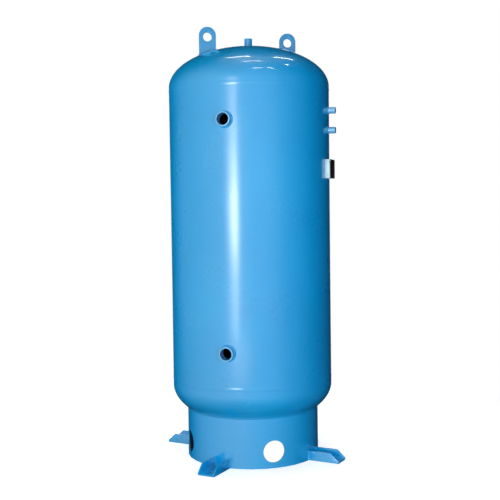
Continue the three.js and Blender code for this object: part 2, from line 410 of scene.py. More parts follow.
def paint_material(name, wear, fade=0.0, tone=1.0):
    """Glossy blue enamel with an even coat of lacquer.

    Wear is the share of edge scuffs that show primer, fade the share painted pale as a highlight, and tone
    below 1 darkens the blue as painted shade.
    """
    material, tree, shader = new_material(name)
    deep, even, chalky = (opaque(colour, tone) for colour in (PAINT_DEEP, PAINT, PAINT_CHALKY))
    place = node(tree, "ShaderNodeTexCoord").outputs["Object"]
    cloud = ranged(tree, noise(tree, place, 2.3, 3), 0.35, 0.65)
    colour = mixed(tree, cloud, deep, even)
    fine = ranged(tree, noise(tree, place, 38, 4, 0.6), 0.45, 0.75, 0.0, 0.12)
    colour = mixed(tree, fine, colour, chalky)
    speck = ranged(tree, noise(tree, place, 420, 1), 0.72, 0.78, 0.0, 0.12)
    colour = mixed(tree, speck, colour, chalky)
    # Painted highlight: pale patches of paint that stand in for a reflection's sheen
    if fade:
        sheen_share = ranged(tree, noise(tree, place, 70, 3), 0.3, 0.7, 0.75 * fade, fade)
        colour = mixed(tree, sheen_share, colour, opaque(PAINT_SHEEN))
    smear = noise(tree, place, 6, 5, 0.65)
    roughness = ranged(tree, smear, 0.3, 0.7, 0.26, 0.36)
    if wear:
        edge = edge_mask(tree, 1.6 * MM, 0.55, 0.97)
        broken = ranged(tree, noise(tree, place, 95, 4, 0.7), 0.62 - 0.2 * wear, 0.72)
        scuff = maths(tree, "MULTIPLY", edge, broken)
        colour = mixed(tree, maths(tree, "MULTIPLY", edge, 0.25), colour, chalky)
        colour = mixed(tree, maths(tree, "MULTIPLY", scuff, wear), colour, opaque(PRIMER))
        roughness = maths(tree, "MULTIPLY_ADD", scuff, 0.35, roughness)
    tree.links.new(colour, shader.inputs["Base Color"])
    tree.links.new(roughness, shader.inputs["Roughness"])
    waves = bumped(tree, noise(tree, place, 3.1, 0), 1.8 * MM)
    peel = bumped(tree, noise(tree, place, 260, 2), 0.05 * MM, 0.6, waves)
    tree.links.new(peel, shader.inputs["Normal"])
    tree.links.new(waves, shader.inputs["Coat Normal"])
    tree.links.new(ranged(tree, cloud, 0.0, 1.0, 0.018, 0.035), shader.inputs["Coat Roughness"])
    shader.inputs["Coat Weight"].default_value = 1.0
    shader.inputs["Coat IOR"].default_value = 1.6
    shader.inputs["Specular IOR Level"].default_value = 0.4
    return material


def metal_material(name, colour, roughness, grain, grain_depth, metallic=1.0, stained=0.62):
    """Bare or dull metal. Grain is its noise scale along x, y and z, stained how dark its stains are."""
    material, tree, shader = new_material(name)
    place = node(tree, "ShaderNodeTexCoord").outputs["Object"]
    stretched = node(tree, "ShaderNodeMapping", {"Vector": place, "Scale": grain})
    lines = noise(tree, stretched.outputs["Vector"], 1.0, 3)
    stain = noise(tree, place, 45, 4, 0.6)
    share = maths(tree, "MULTIPLY_ADD", lines, 0.55, maths(tree, "MULTIPLY", stain, 0.45))
    tint = mixed(tree, ranged(tree, share, 0.35, 0.6), opaque(colour, stained), opaque(colour))
    rough = ranged(tree, stain, 0.3, 0.7, roughness - 0.08, roughness + 0.1)
    tree.links.new(tint, shader.inputs["Base Color"])
    tree.links.new(rough, shader.inputs["Roughness"])
    tree.links.new(bumped(tree, lines, grain_depth), shader.inputs["Normal"])
    shader.inputs["Metallic"].default_value = metallic
    return material


tank_paint = paint_material("tank_paint", 0.0)
fitting_paint = paint_material("fitting_paint", 0.5)
# Socket rims and small couplings: real edge wear, and pale patches that are a painted highlight
worn_sheen_paint = paint_material("worn_sheen_paint", 0.3, 0.2)
# Painted shade: the lugs and their welds get a darker copy of the tank's paint
lug_shaded_paint = paint_material("lug_shaded_paint", 0.5, tone=0.82)
thread_paint = metal_material(
    "thread_paint", (0.002, 0.10, 0.26), 0.45, (120, 120, 120), 0.1 * MM, metallic=0.0
)
raw_steel = metal_material(
    "raw_steel", (0.030, 0.033, 0.042), 0.62, (60, 60, 60), 0.1 * MM, metallic=0.7
)
bright_sheet = metal_material(
    "bright_sheet", (0.47, 0.64, 0.71), 0.42, (900, 900, 25), 0.02 * MM, metallic=0.3, stained=0.86
)
rivet_metal = metal_material("rivet_metal", (0.6, 0.61, 0.62), 0.32, (200, 200, 200), 0.02 * MM)
plate_black = metal_material(
    "plate_black", (0.012, 0.012, 0.013), 0.34, (700, 700, 20), 0.01 * MM, metallic=0.2
)
plate_lines = metal_material("plate_lines", (0.55, 0.56, 0.57), 0.35, (400, 400, 400), 0.01 * MM)


# ---------------------------------------------------------------- vessel

INSIDE = 1


def bare_inside(obj, is_inside):
    """Gives the faces that a test picks the second material, the raw inside of the vessel."""
    for face in obj.data.polygons:
        if is_inside(face.center, face.normal):
            face.material_index = INSIDE


def faces_axis(centre, normal):
    """Whether a face looks inwards, towards the tank's axis."""
    return normal.x * centre.x + normal.y * centre.y < -0.3 * math.hypot(centre.x, centre.y)


def set_round_normals(obj, radius):
    """Gives the outer wall of a cylinder its true normals, so that cuts don't disturb its shine."""
    mesh = obj.data
    wanted = [(0, 0, 0)] * len(mesh.loops)
    for face in mesh.polygons:
        out = Vector((face.center.x, face.center.y, 0)).normalized()
        if face.normal.dot(out) > 0.95:
            for index in face.loop_indices:
                at = mesh.vertices[mesh.loops[index].vertex_index].co
                if math.hypot(at.x, at.y) > radius - 0.1 * MM:
                    wanted[index] = Vector((at.x, at.y, 0)).normalized()
    mesh.normals_split_custom_set(wanted)


def radial_sockets():
    """The shell's sockets: name, nominal size, axis, height, outside radius and reach of the outer end."""
    found = []
    for name, nominal in (
        ("upper_front_port", "two_inch"),
        ("lower_front_port", "two_inch"),
        ("upper_side_coupling", "three_quarter_inch"),
        ("lower_side_coupling", "three_quarter_inch"),
    ):
        axis = Vector(mounts[f"{name}_face"]["axis"])
        reach = Vector(mounts[f"{name}_face"]["pos_m"]).dot(axis)
        found.append((name, nominal, axis, middle_of(name).z, size_of(name).z / 2, reach))
    return found


RADIAL_SOCKETS = radial_sockets()
SOCKET_INNER_END = shell_radius - 13 * MM

FEET = ("foot_front", "foot_right", "foot_back", "foot_left")
FOOT_AZIMUTHS = {name: azimuth_of(mounts[f"{name}_underside"]["pos_m"]) for name in FEET}

# Access holes in the skirt, halfway between the feet
ACCESS_AZIMUTHS = [azimuth + math.radians(45) for azimuth in FOOT_AZIMUTHS.values()]
ACCESS_HEIGHT = 85 * MM
ACCESS_RADIUS = 56 * MM


def wall_rows(low, high, spacing):
    """Evenly spaced heights from low to high."""
    return list(np.linspace(low, high, max(2, round((high - low) / spacing))))


def build_shell():
    inner = shell_radius - WALL
    rows = wall_rows(bottom_seam, top_seam, SHELL_ROW)
    outline = [(shell_radius, z) for z in rows] + [(inner, z) for z in reversed(rows)]
    verts, faces = turned(outline)
    shell = make_piece("tank_shell", verts, faces, [tank_paint, raw_steel])
    cutters = []
    for _, _, axis, height, outer, _ in RADIAL_SOCKETS:
        base = UP * height
        cutters.append(rod(outer - HOLE_OVERLAP, base + axis * CUTTER_FROM, base + axis * CUTTER_TO))
    cut(shell, *cutters)
    shade(shell)
    bare_inside(shell, faces_axis)
    set_round_normals(shell, shell_radius)
    stand_for(shell, "blue_paint", "shell")


def head_arc(side, inset, hole):
    """A head's profile from its tangent line to the edge of the hole on its axis."""
    radius, depth = shell_radius - inset, HEAD_DEPTH - inset
    tangent = top_tangent if side > 0 else bottom_tangent
    angles = np.linspace(0, math.acos(hole / radius), HEAD_STEPS + 1)
    return [(radius * math.cos(a), tangent + side * depth * math.sin(a)) for a in angles]


def build_head(name, node_name, side, socket, seam):
    hole = size_of(socket).x / 2 - HOLE_OVERLAP
    outer = [(shell_radius, seam)] + head_arc(side, 0, hole)
    inner = [(shell_radius - WALL, seam)] + head_arc(side, WALL, hole)
    verts, faces = turned(outer + inner[::-1])
    head = make_piece(name, verts, faces, [tank_paint, raw_steel])
    middle = UP * (top_tangent if side > 0 else bottom_tangent)
    bare_inside(head, lambda centre, normal: normal.dot(centre - middle) < 0)
    stand_for(head, "blue_paint", node_name)


def build_skirt():
    low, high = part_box("skirt")
    inner = skirt_radius - WALL
    rows = wall_rows(low.z, high.z, SKIRT_ROW)
    outline = [(skirt_radius, z) for z in rows]
    outline += [(inner, z) for z in reversed(rows[:-1])]
    outline.insert(len(rows), (inner, head_height(inner, -1)))
    verts, faces = turned(outline)
    skirt = make_piece("tank_skirt", verts, faces, tank_paint)
    cutters = []
    for azimuth in ACCESS_AZIMUTHS:
        base, out = UP * ACCESS_HEIGHT, out_at(azimuth)
        cutters.append(rod(ACCESS_RADIUS, base + out * CUTTER_FROM, base + out * CUTTER_TO, 96))
    cut(skirt, *cutters)
    round_edges(skirt, SKIRT_EDGE, angle=60)
    set_round_normals(skirt, skirt_radius)
    stand_for(skirt, "blue_paint", "skirt")


# ---------------------------------------------------------------- feet

FOOT_WIDTH = 92 * MM
FOOT_HEIGHT = size_of("foot_front").z
FOOT_PLATE = 6 * MM
FOOT_REACH = 514 * MM
FOOT_ROOT_DEPTH = 20 * MM  # how far a foot starts inside the skirt's radius, before the skirt cuts it
FOOT_SLOPE_START = 471 * MM
FOOT_SLOPE_RUN = 20 * MM  # how far the slope's cutter runs past both its ends
FOOT_TOE_HEIGHT = 11 * MM
FOOT_CORNER = 5 * MM  # inner radius of the channel
FOOT_WELD_LEG = 4.5 * MM
ANCHOR_REACH = 454 * MM
ANCHOR_RADIUS = 9 * MM


def channel_outline():
    """The channel's section, open side up, as (across, up) points with rounded inner corners."""
    half, inner = FOOT_WIDTH / 2, FOOT_WIDTH / 2 - FOOT_PLATE
    heel = FOOT_PLATE + FOOT_CORNER
    right = arc((inner - FOOT_CORNER, heel), FOOT_CORNER, -90, 0, 6)
    left = [(-a, b) for a, b in reversed(right)]
    return [
        (-half, 0),
        (half, 0),
        (half, FOOT_HEIGHT),
        (inner, FOOT_HEIGHT),
        *reversed(right),
        *reversed(left),
        (-inner, FOOT_HEIGHT),
        (-half, FOOT_HEIGHT),
    ]


def build_foot(name, azimuth):
    """A channel from the skirt outwards, with its sides cut down to a toe and one anchor hole."""
    out, across = out_at(azimuth), across_at(azimuth)

    def place(a, b, depth):
        return out * depth + across * a + UP * b

    verts, faces = extruded(channel_outline(), skirt_radius - FOOT_ROOT_DEPTH, FOOT_REACH, place)
    foot = make_piece(f"tank_{name}", verts, faces, fitting_paint)
    run = FOOT_SLOPE_RUN
    far, tall = FOOT_REACH + 2 * run, 2 * FOOT_HEIGHT
    drop = (FOOT_HEIGHT - FOOT_TOE_HEIGHT) / (FOOT_REACH - FOOT_SLOPE_START)
    wedge = [
        (FOOT_SLOPE_START - run, FOOT_HEIGHT + drop * run),
        (FOOT_REACH + run, FOOT_TOE_HEIGHT - drop * run),
        (far, FOOT_TOE_HEIGHT - drop * run),
        (far, tall),
        (FOOT_SLOPE_START - run, tall),
    ]
    wedge_verts, wedge_faces = extruded(
        wedge, -FOOT_WIDTH, FOOT_WIDTH, lambda a, b, depth: out * a + across * depth + UP * b
    )
    slope = make_piece("cutter", wedge_verts, wedge_faces, [])
    skirt = rod(skirt_radius, -UP * CUT_MARGIN, UP * (FOOT_HEIGHT + CUT_MARGIN), TURN_STEPS)
    anchor = out * ANCHOR_REACH
    hole = rod(ANCHOR_RADIUS, anchor - UP * CUT_MARGIN, anchor + UP * CUT_MARGIN, 48)
    cut(foot, slope, skirt, hole)
    round_edges(foot, FOOT_EDGE)
    stand_for(foot, "blue_paint", name)


def weld_foot(name, azimuth):
    """Fillets where a foot meets the skirt: outside both flanges, and inside along flanges and floor."""
    out, across = out_at(azimuth), across_at(azimuth)
    leg = FOOT_WELD_LEG
    half, inner = FOOT_WIDTH / 2, FOOT_WIDTH / 2 - FOOT_PLATE

    def on_skirt(a, b):
        return out * math.sqrt(skirt_radius**2 - a**2) + across * a + UP * b

    # Each line of (across, up) points, with the direction in which the fillet spreads over the skirt
    outer_heights = np.linspace(0.5 * MM, FOOT_HEIGHT, 60)
    inner_heights = np.linspace(FOOT_PLATE, FOOT_HEIGHT, 55)
    paths = {
        "outer_a": ([(half, b) for b in outer_heights], (1, 0)),
        "outer_b": ([(-half, b) for b in outer_heights], (-1, 0)),
        "inner_a": ([(inner, b) for b in inner_heights], (-1, 0)),
        "inner_b": ([(-inner, b) for b in inner_heights], (1, 0)),
        "floor": ([(a, FOOT_PLATE) for a in np.linspace(-inner, inner, 110)], (0, 1)),
    }
    rise = FOOT_WELD_RISE * leg
    for label, (line, (aside, above)) in paths.items():
        on_foot = [on_skirt(a, b) + out * leg for a, b in line]
        on_wall = [on_skirt(a + aside * leg, b + above * leg) for a, b in line]
        away = [(out + across * aside + UP * above).normalized()] * len(line)
        weld = bead(f"weld_{name}_{label}", on_foot, on_wall, away, rise, fitting_paint, loop=False)
        stand_for(weld, "blue_paint")


# ---------------------------------------------------------------- lifting lugs

LUG_THICKNESS = 12 * MM
LUG_WIDTH = 88 * MM
LUG_EYE_RADIUS = 22.5 * MM
LUG_ROOT_DEPTH = 10 * MM  # how far the plate starts inside the head, before the head cuts it
LUG_WELD_LEG = 4.5 * MM
LUG_CORNER = 2 * MM  # how round the fillet runs about the plate's corners
POLE = 0.001 * MM  # stands for zero radius, where an outline turned about an axis would close on itself


def lug_axes(name):
    """A lug's centre, the way its flat side faces, and the direction along its width."""
    facing = Vector(mounts[f"{name}_face"]["axis"])
    return middle_of(name), facing, Vector((-facing.y, facing.x, 0))


def build_lug(name):
    """An upright plate with a round top and an eye, its foot cut to the head's curve."""
    centre, facing, along = lug_axes(name)
    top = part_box(name)[1].z
    eye_height = mounts[f"{name}_face"]["pos_m"][2]
    half = LUG_WIDTH / 2
    base = head_height(math.hypot(centre.x, centre.y) + half, 1) - LUG_ROOT_DEPTH
    outline = [(-half, base), (half, base)] + arc((0, top - half), half, 0, 180, 40)

    def place(a, b, depth):
        return Vector((centre.x, centre.y, b)) + along * a + facing * depth

    verts, faces = extruded(outline, -LUG_THICKNESS / 2, LUG_THICKNESS / 2, place)
    lug = make_piece(f"tank_{name}", verts, faces, lug_shaded_paint)
    eye = rod(LUG_EYE_RADIUS, place(0, eye_height, -CUT_MARGIN), place(0, eye_height, CUT_MARGIN), 72)
    dome_arc = head_arc(1, 0, POLE)
    dome_verts, dome_faces = turned(dome_arc + [(POLE, top_tangent)], 128)
    dome = make_piece("cutter", dome_verts, dome_faces, [])
    cut(lug, eye, dome)
    round_edges(lug, LUG_EDGE, segments=3)
    stand_for(lug, "blue_paint", name)


def weld_lug(name):
    """The fillet round the plate's foot."""
    centre, facing, along = lug_axes(name)
    leg = LUG_WELD_LEG
    outline = rounded_rectangle(LUG_WIDTH / 2, LUG_THICKNESS / 2, LUG_CORNER)
    on_plate, on_head, away = [], [], []
    for (a, b), angle in evenly(outline, RIPPLE_PITCH / BEAD_SAMPLES):
        side = along * math.cos(angle) + facing * math.sin(angle)
        foot = Vector((centre.x, centre.y, 0)) + along * a + facing * b
        toe = foot + side * leg
        foot.z = head_height(math.hypot(foot.x, foot.y), 1)
        toe.z = head_height(math.hypot(toe.x, toe.y), 1)
        on_plate.append(foot + UP * leg)
        on_head.append(toe)
        away.append((side + head_normal(foot.x, foot.y, 1)).normalized())
    weld = bead(f"weld_{name}", on_plate, on_head, away, LUG_WELD_RISE * leg, lug_shaded_paint)
    stand_for(weld, "blue_paint")


def rounded_rectangle(half_width, half_height, radius):
    """Points and outward angles round a rectangle with round corners."""
    made = []
    for (a, b), start in (((1, 1), 0), ((-1, 1), 90), ((-1, -1), 180), ((1, -1), 270)):
        pivot = (a * (half_width - radius), b * (half_height - radius))
        for step in range(CORNER_STEPS + 1):
            angle = math.radians(start + 90 * step / CORNER_STEPS)
            made.append(((pivot[0] + radius * math.cos(angle), pivot[1] + radius * math.sin(angle)), angle))
    return made


def evenly(outline, spacing):
    """Resamples a closed line of ((a, b), angle) at an even spacing."""
    made = []
    for i, ((a, b), angle) in enumerate(outline):
        (c, d), later = outline[(i + 1) % len(outline)]
        if later < angle - math.pi:
            later += 2 * math.pi
        steps = max(1, round(math.hypot(c - a, d - b) / spacing))
        for k in range(steps):
            t = k / steps
            made.append(((a + (c - a) * t, b + (d - b) * t), angle + (later - angle) * t))
    return made


# ---------------------------------------------------------------- sockets

SOCKET_STEPS = 96
THREAD_ROWS_PER_TURN = 8
TOOTH_FLATNESS = 1.6  # above 1 the thread's crests and roots are flat
MOUTH_FLARE = 0.64 * MM
MOUTH_LIP = 0.1 * MM  # flat ring round the flare, so that its edge doesn't shade the whole end
END_ROUNDING = 0.8 * MM
RIM_DEPTH = 0.9 * MM
BORE_MARGIN = 0.2 * MM

# Slots of a socket's materials
RIM = 1
THREAD = 2


def socket_mesh(outer, length, thread):
    """A socket along +Z from 0 to length, with a real helical thread in its bore."""
    crest, root, pitch = thread["crest"], thread["root"], thread["pitch"]
    rows = int(length / pitch * THREAD_ROWS_PER_TURN)
    turn = 2 * np.pi * np.arange(SOCKET_STEPS) / SOCKET_STEPS
    heights = np.linspace(length, 0, rows)
    outside = [(outer, 0.0)]
    outside += arc((outer - END_ROUNDING, length - END_ROUNDING), END_ROUNDING, 0, 90, 4)
    outside.append((root + MOUTH_FLARE + MOUTH_LIP, length))
    sections = np.empty((SOCKET_STEPS, len(outside) + rows, 3))
    for i, angle in enumerate(turn):
        swing = (heights / pitch - angle / (2 * np.pi)) * 2 * np.pi
        tooth = 0.5 + 0.5 * np.clip(TOOTH_FLATNESS * np.cos(swing), -1, 1)
        radius = root + (crest - root) * tooth
        mouth = root + MOUTH_FLARE - (length - heights)
        radius = np.maximum(radius, mouth)
        column = outside + list(zip(radius, heights))
        for j, (r, h) in enumerate(column):
            sections[i, j] = (r * math.cos(angle), r * math.sin(angle), h)
    return skin(sections, loop=True)


def build_socket(name, nominal, axis, base, outer, length):
    """A socket whose inner end is at base, pointing along axis, with a rim painted pale as a highlight and a
    dark bore.
    """
    verts, faces = socket_mesh(outer, length, SOCKETS[nominal])
    place = Matrix.Translation(base) @ axis.to_track_quat("Z", "Y").to_matrix().to_4x4()
    verts = [place @ Vector(v) for v in verts]
    socket = make_piece(f"tank_{name}", verts, faces, [fitting_paint, worn_sheen_paint, thread_paint], sharp=50)
    bore_edge = SOCKETS[nominal]["root"] + BORE_MARGIN
    # The small couplings are painted pale as a highlight along their whole length, the other sockets only on
    # the rim
    pale = length if nominal == "three_quarter_inch" else RIM_DEPTH
    for face in socket.data.polygons:
        centre = face.center - base
        depth = centre.dot(axis)
        if (centre - axis * depth).length < bore_edge:
            face.material_index = THREAD
        elif depth > length - pale:
            face.material_index = RIM
    stand_for(socket, "blue_paint", name)


def build_radial_sockets():
    """The sockets through the shell, each with a fillet that follows the shell's curve."""
    for name, nominal, axis, height, outer, reach in RADIAL_SOCKETS:
        base = axis * SOCKET_INNER_END + UP * height
        build_socket(name, nominal, axis, base, outer, reach - SOCKET_INNER_END)
        leg = SOCKETS[nominal]["fillet"]
        across = UP.cross(axis)
        turn = np.linspace(0, 2 * np.pi, bead_points(2 * np.pi * outer), endpoint=False)
        on_socket, on_shell, away = [], [], []
        for angle in turn:
            side = across * math.cos(angle) + UP * math.sin(angle)

            def saddle(radius):
                flat = radius * math.cos(angle)
                return UP * height + side * radius + axis * math.sqrt(shell_radius**2 - flat**2)

            on_socket.append(saddle(outer) + axis * leg)
            on_shell.append(saddle(outer + leg))
            away.append((side + axis).normalized())
        rise = SOCKET_WELD_RISE * leg
        weld = bead(f"weld_{name}", on_socket, on_shell, away, rise, fitting_paint)
        stand_for(weld, "blue_paint", f"{name}_weld")


def build_axial_sockets():
    """The port on the crown and the drain below, each with its fillet."""
    for name, nominal, side in (("top_port", "one_inch", 1), ("drain_coupling", "three_quarter_inch", -1)):
        low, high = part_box(name)
        outer = (high.x - low.x) / 2
        base = UP * (low.z if side > 0 else high.z)
        build_socket(name, nominal, UP * side, base, outer, high.z - low.z)
        leg = SOCKETS[nominal]["fillet"]
        near, far = head_height(outer, side) + side * leg, head_height(outer + leg, side)
        rise = SOCKET_WELD_RISE * leg
        weld = ring_bead(f"weld_{name}", (outer, near), (outer + leg, far), (1, side), rise, fitting_paint)
        stand_for(weld, "blue_paint", f"{name}_weld")


# ---------------------------------------------------------------- seams


def build_seams():
    """The two girth welds, the long seam and the weld of skirt to head."""
    half = SEAM_HALF_WIDTH
    toe_radius = shell_radius - SEAM_SINK
    shape = {"ripple_share": SEAM_RIPPLE, "flank": SEAM_CROWN}
    for node_name in ("girth_weld_top", "girth_weld_bottom"):
        height = middle_of(node_name).z
        toes = [(toe_radius, height - half), (toe_radius, height + half)]
        weld = ring_bead(f"bead_{node_name}", *toes, (1, 0), SEAM_RISE, tank_paint, **shape)
        stand_for(weld, "blue_paint", node_name)

    low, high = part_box("long_seam_weld")
    azimuth = azimuth_of(middle_of("long_seam_weld"))
    out, across = out_at(azimuth), across_at(azimuth)
    count = bead_points(high.z - low.z)
    line = [UP * z + out * toe_radius for z in np.linspace(low.z - half, high.z + half, count)]
    weld = bead(
        "bead_long_seam",
        [p - across * half for p in line],
        [p + across * half for p in line],
        [out] * count,
        SEAM_RISE,
        tank_paint,
        loop=False,
        **shape,
    )
    stand_for(weld, "blue_paint", "long_seam_weld")

    reach = skirt_radius + SKIRT_WELD_LEG
    on_skirt = (skirt_radius, head_height(skirt_radius, -1) - SKIRT_WELD_LEG)
    on_head = (reach, head_height(reach, -1))
    weld = ring_bead("bead_skirt", on_skirt, on_head, (1, SKIRT_WELD_TILT), SKIRT_WELD_RISE, tank_paint)
    stand_for(weld, "blue_paint", "skirt_weld")


# ---------------------------------------------------------------- nameplate

BRACKET_WIDTH = 118 * MM
BRACKET_SHEET = 2 * MM
BRACKET_BEND = 4 * MM
BRACKET_GAP = 0.05 * MM
BRACKET_ROOT = 390 * MM  # radius inside the shell from which the legs start, before the shell cuts them
PLATE_WIDTH = 113 * MM
PLATE_THICKNESS = 1.5 * MM
PLATE_BACK = 0.9 * MM  # how far the plate's back lies behind the middle of the frame's plate
PLATE_CORNER = 4 * MM
FIELD_ROWS = 6
FIELD_MARGIN = 5 * MM
FIELD_INDENT = 3 * MM
LINE_WIDTH = 0.9 * MM
LINE_RISE = 0.12 * MM
RIVET_STEPS = 32
RIVET_SINK = 0.2 * MM

# Half the section of a rivet's round head as (radius, height) in millimetres
RIVET_HEAD = ((2.7, 0), (2.7, 0.35), (2.45, 0.9), (1.9, 1.35), (1.1, 1.6), (0.05, 1.7), (0.05, 0))

plate_centre = middle_of("nameplate")
plate_out = out_at(azimuth_of(plate_centre))
plate_across = across_at(azimuth_of(plate_centre))
plate_back = plate_centre.xy.length - PLATE_BACK
plate_face = plate_back + PLATE_THICKNESS


def on_plate(a, b, depth):
    """A point across and above the plate's centre, at a distance from the tank's axis."""
    return plate_out * depth + plate_across * a + UP * (plate_centre.z + b)


def build_bracket():
    """A sheet bent to a U, whose two legs stand on the shell."""
    low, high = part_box("nameplate_bracket")
    half = BRACKET_WIDTH / 2
    pivot = (plate_back - BRACKET_BEND, half - BRACKET_BEND)
    outer = [(BRACKET_ROOT, half)] + arc(pivot, BRACKET_BEND, 90, 0, 8)
    inner = [(BRACKET_ROOT, half - BRACKET_SHEET)] + arc(pivot, BRACKET_BEND - BRACKET_SHEET, 90, 0, 8)
    outline = outer + [(a, -b) for a, b in reversed(outer)]
    outline += [(a, -b) for a, b in inner] + list(reversed(inner))
    verts, faces = extruded(
        outline, low.z, high.z, lambda a, b, depth: plate_out * a + plate_across * b + UP * depth
    )
    bracket = make_piece("nameplate_holder", verts, faces, bright_sheet)
    radius = shell_radius + BRACKET_GAP
    shell = rod(radius, UP * (low.z - CUT_MARGIN), UP * (high.z + CUT_MARGIN), TURN_STEPS)
    cut(bracket, shell)
    round_edges(bracket, BRACKET_EDGE)
    stand_for(bracket, "bare_sheet", "nameplate_bracket")


def build_plate():
    tall = size_of("nameplate").z
    outline = [point for point, _ in rounded_rectangle(PLATE_WIDTH / 2, tall / 2, PLATE_CORNER)]
    verts, faces = extruded(outline, plate_back, plate_face, on_plate)
    plate = make_piece("data_plate", verts, faces, plate_black)
    round_edges(plate, PLATE_EDGE)
    stand_for(plate, "black_plate", "nameplate")


def build_fields():
    """Blank ruled fields on the plate, with no lettering."""
    right, top = PLATE_WIDTH / 2 - FIELD_MARGIN, size_of("nameplate").z / 2 - FIELD_MARGIN
    verts, faces = [], []

    def bar(a0, b0, a1, b1):
        start = len(verts)
        box = [(a0, b0), (a1, b0), (a1, b1), (a0, b1)]
        made, made_faces = extruded(box, plate_face - LINE_RISE, plate_face + LINE_RISE, on_plate)
        verts.extend(made)
        faces.extend([tuple(i + start for i in face) for face in made_faces])

    for edge in (-top, top):
        bar(-right, edge - LINE_WIDTH / 2, right, edge + LINE_WIDTH / 2)
    for edge in (-right, right):
        bar(edge - LINE_WIDTH / 2, -top + LINE_WIDTH / 2, edge + LINE_WIDTH / 2, top - LINE_WIDTH / 2)
    for row in range(1, FIELD_ROWS):
        level = -top + 2 * top * row / FIELD_ROWS
        bar(-right + FIELD_INDENT, level - LINE_WIDTH / 3, right - FIELD_INDENT, level + LINE_WIDTH / 3)
    lines = make_piece("data_plate_fields", verts, faces, plate_lines)
    stand_for(lines, "rivet_metal")


def build_rivets():
    turn = plate_out.to_track_quat("Z", "Y").to_matrix().to_4x4()
    for index in range(1, 5):
        node_name = f"nameplate_rivet_{index}"
        at = middle_of(node_name)
        verts, faces = turned([(r * MM, h * MM) for r, h in RIVET_HEAD], RIVET_STEPS)
        base = plate_out * (plate_face - RIVET_SINK) + plate_across * at.dot(plate_across) + UP * at.z
        place = Matrix.Translation(base) @ turn
        rivet = make_piece(f"plate_rivet_{index}", [place @ Vector(v) for v in verts], faces, rivet_metal)
        stand_for(rivet, "rivet_metal", node_name)


# ---------------------------------------------------------------- studio

# What the paint reflects, in degrees. All azimuths but the window's own are counted from it.
WINDOW_AZIMUTH = 248
WINDOW_SOFT_SIDE = 8.5  # how widely the window fades out clockwise
WINDOW_SHARP_SIDE = 6.0  # and the other way
WINDOW_LEVEL = -0.5  # elevation of its hot core
WINDOW_HEIGHT = 3.6
WINDOW_TOP = (7, 28)  # elevations between which it fades out
WINDOW_FOOT = (-10, -7)
WALL_LEFT = (-117, -14)  # azimuths between which the wall fades in
WALL_RIGHT = (-12, 124)  # and out
GLARE_PLACE = (6.0, -9.8)  # azimuth and elevation
GLARE_SIZE = (15.0, 2.2)

# Radiances
WINDOW_CORE = 9.0
WINDOW_EDGE = 2.4
FLOOR_GLARE = 1.3
WALL_GLOW = 1.3
ZENITH_GLOW = 0.3
BACK_GLOW = 1.2
AMBIENT = 0.004

WHITE = (1, 1, 1, 1)


def squared_distance(tree, value, centre, width):
    """How far a value lies from a centre, counted in widths and squared."""
    return maths(tree, "POWER", maths(tree, "DIVIDE", maths(tree, "SUBTRACT", value, centre), width), 2.0)


def bell(tree, squared):
    """A bell curve of a squared distance."""
    return maths(tree, "EXPONENT", maths(tree, "MULTIPLY", squared, -1.0))


def reflected_wall(tree, azimuth, z):
    """The bright wall in front, dimmer upwards and downwards, and a faint glow overhead."""
    left = ranged(tree, azimuth, *WALL_LEFT)
    right = ranged(tree, azimuth, *WALL_RIGHT, 1.0, 0.0)
    above = ranged(tree, z, 0.35, 1.0, 1.0, 0.45)
    below = ranged(tree, z, -1.0, -0.15, 0.12, 1.0)
    wall = maths(tree, "MULTIPLY", left, right)
    wall = maths(tree, "MULTIPLY", wall, maths(tree, "MULTIPLY", above, below))
    return maths(tree, "MAXIMUM", wall, ranged(tree, z, 0.85, 1.0, 0.0, ZENITH_GLOW))


def reflected_window(tree, azimuth, elevation):
    """The upright window, with a hot core at eye level and a glare on the floor below it."""
    soft_side = squared_distance(tree, maths(tree, "MINIMUM", azimuth, 0.0), 0.0, WINDOW_SOFT_SIDE)
    sharp_side = squared_distance(tree, maths(tree, "MAXIMUM", azimuth, 0.0), 0.0, WINDOW_SHARP_SIDE)
    band = bell(tree, maths(tree, "ADD", soft_side, sharp_side))
    core = bell(tree, squared_distance(tree, elevation, WINDOW_LEVEL, WINDOW_HEIGHT))
    top = ranged(tree, elevation, *WINDOW_TOP, 1.0, 0.0)
    edge = maths(tree, "MULTIPLY", top, ranged(tree, elevation, *WINDOW_FOOT))
    window = maths(tree, "MULTIPLY_ADD", core, WINDOW_CORE, maths(tree, "MULTIPLY", edge, WINDOW_EDGE))
    window = maths(tree, "MULTIPLY", window, band)
    glare_across = squared_distance(tree, azimuth, GLARE_PLACE[0], GLARE_SIZE[0])
    glare_up = squared_distance(tree, elevation, GLARE_PLACE[1], GLARE_SIZE[1])
    glare = bell(tree, maths(tree, "ADD", glare_across, glare_up))
    return maths(tree, "MULTIPLY_ADD", glare, FLOOR_GLARE, window)


